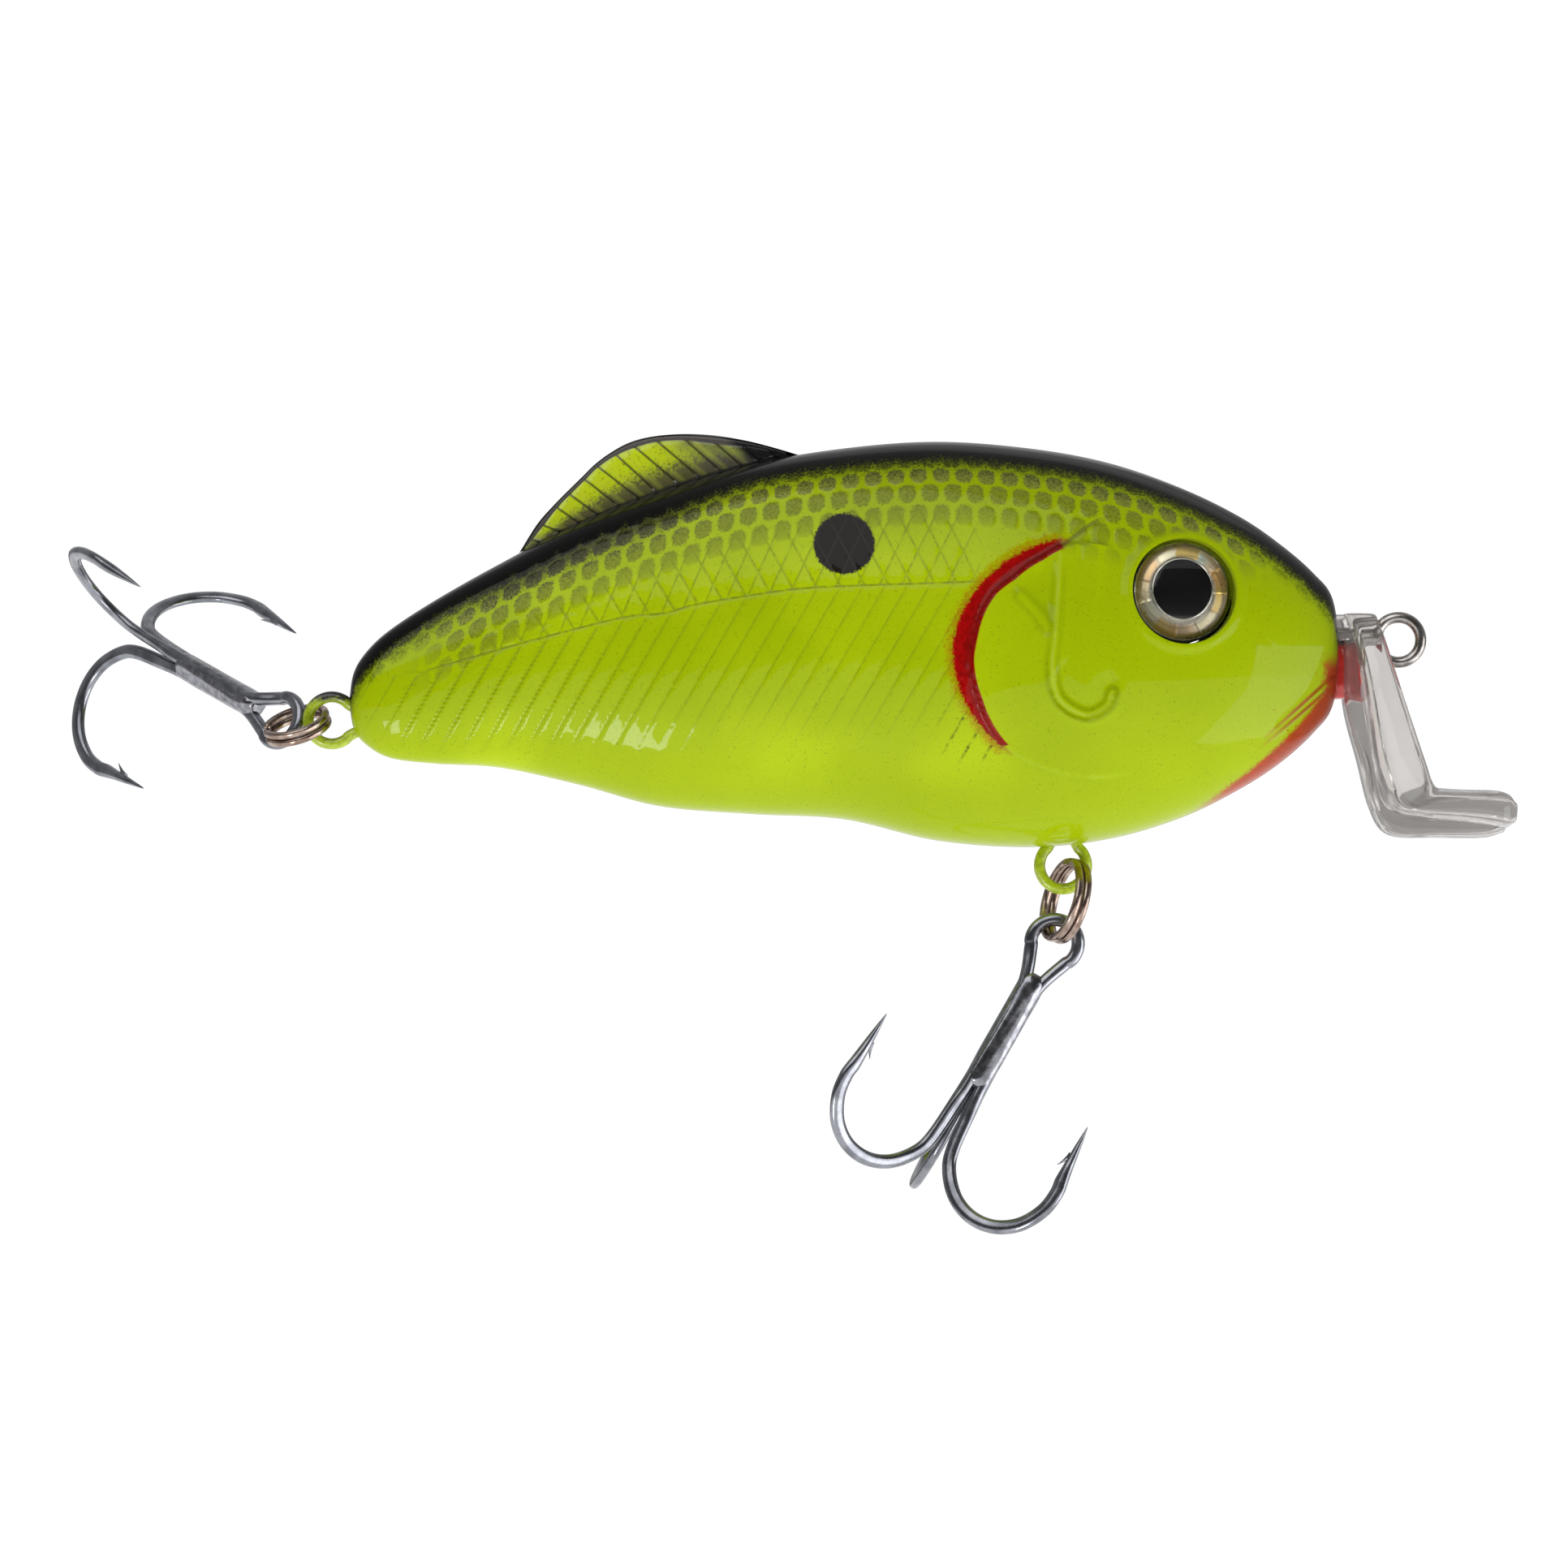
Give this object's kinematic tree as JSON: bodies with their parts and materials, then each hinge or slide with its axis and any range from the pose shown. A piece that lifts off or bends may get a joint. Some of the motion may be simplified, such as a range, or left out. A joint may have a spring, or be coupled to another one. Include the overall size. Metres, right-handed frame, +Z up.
{
  "type": "crankbait lure",
  "caption": "Hollow crankbait fishing lure with an L-shaped clear lip, a back fin, and treble hooks that swing on split rings.",
  "frame": {"origin": "centre of the line tie eye, on the lure's centre plane", "axes": "+X to the nose, +Z up, so +Y is the lure's left side"},
  "size_m": [0.1103, 0.0297, 0.0603],
  "materials": {
    "body_paint": "clear-coated chartreuse paint, black back",
    "fin_paint": "clear-coated paint over clear plastic",
    "clear_plastic": "clear moulded polycarbonate",
    "stainless": "bright stainless wire",
    "black_nickel": "black nickel plate",
    "hanger_paint": "painted wire",
    "eye_foil": "holographic foil with a printed black pupil",
    "eye_resin": "clear domed resin",
    "ballast": "cast metal",
    "ball_steel": "polished steel"
  },
  "bodies": {
    "root": {"body_shell_left": "body_paint", "body_shell_right": "body_paint", "dorsal_fin": "fin_paint", "diving_lip": "clear_plastic", "line_tie": "stainless", "belly_hook_hanger": "hanger_paint", "tail_hook_hanger": "hanger_paint", "left_eye_foil": "eye_foil", "right_eye_foil": "eye_foil", "left_eye_dome": "eye_resin", "right_eye_dome": "eye_resin", "keel_weight": "ballast"},
    "belly_ring": {"belly_split_ring": "stainless"},
    "belly_hook": {"belly_treble_double": "black_nickel", "belly_treble_single": "black_nickel"},
    "tail_ring": {"tail_split_ring": "stainless"},
    "tail_hook": {"tail_treble_double": "black_nickel", "tail_treble_single": "black_nickel"},
    "knocker": {"knocker_ball": "ball_steel"},
    "rattle_1": {"rattle_ball_1": "ball_steel"},
    "rattle_2": {"rattle_ball_2": "ball_steel"},
    "rattle_3": {"rattle_ball_3": "ball_steel"}
  },
  "joints": [
    {"name": "belly_ring_swing", "type": "hinge", "parent": "root", "child": "belly_ring", "pos_m": [-0.0254, 0, -0.0171], "axis": [0, 1, 0], "range_deg": [-60, 45]},
    {"name": "belly_hook_swing", "type": "hinge", "parent": "belly_ring", "child": "belly_hook", "pos_m": [-0.02642, 0.00036, -0.02222], "axis": [0.1761, -0.8443, -0.5062], "range_deg": [-60, 10]},
    {"name": "tail_ring_swing", "type": "hinge", "parent": "root", "child": "tail_ring", "pos_m": [-0.0808, 0, -0.0061], "axis": [0, 1, 0], "range_deg": [-100, 60]},
    {"name": "tail_hook_swing", "type": "hinge", "parent": "tail_ring", "child": "tail_hook", "pos_m": [-0.08317, 0.00219, -0.00549], "axis": [0.9574, -0.2121, 0.1961], "range_deg": [0, 45]},
    {"name": "knocker_slide", "type": "slide", "parent": "root", "child": "knocker", "axis": [1, 0, 0], "range_m": [0, 0.0088]},
    {"name": "rattle_slide_1", "type": "slide", "parent": "root", "child": "rattle_1", "axis": [1, 0, 0], "range_m": [0, 0.0038]},
    {"name": "rattle_slide_2", "type": "slide", "parent": "root", "child": "rattle_2", "axis": [1, 0, 0], "range_m": [0, 0.0038]},
    {"name": "rattle_slide_3", "type": "slide", "parent": "root", "child": "rattle_3", "axis": [1, 0, 0], "range_m": [0, 0.0038]}
  ],
  "couplings": [
    {"joint": "rattle_slide_2", "follows": "rattle_slide_1", "ratio": 1},
    {"joint": "rattle_slide_3", "follows": "rattle_slide_1", "ratio": 1}
  ]
}
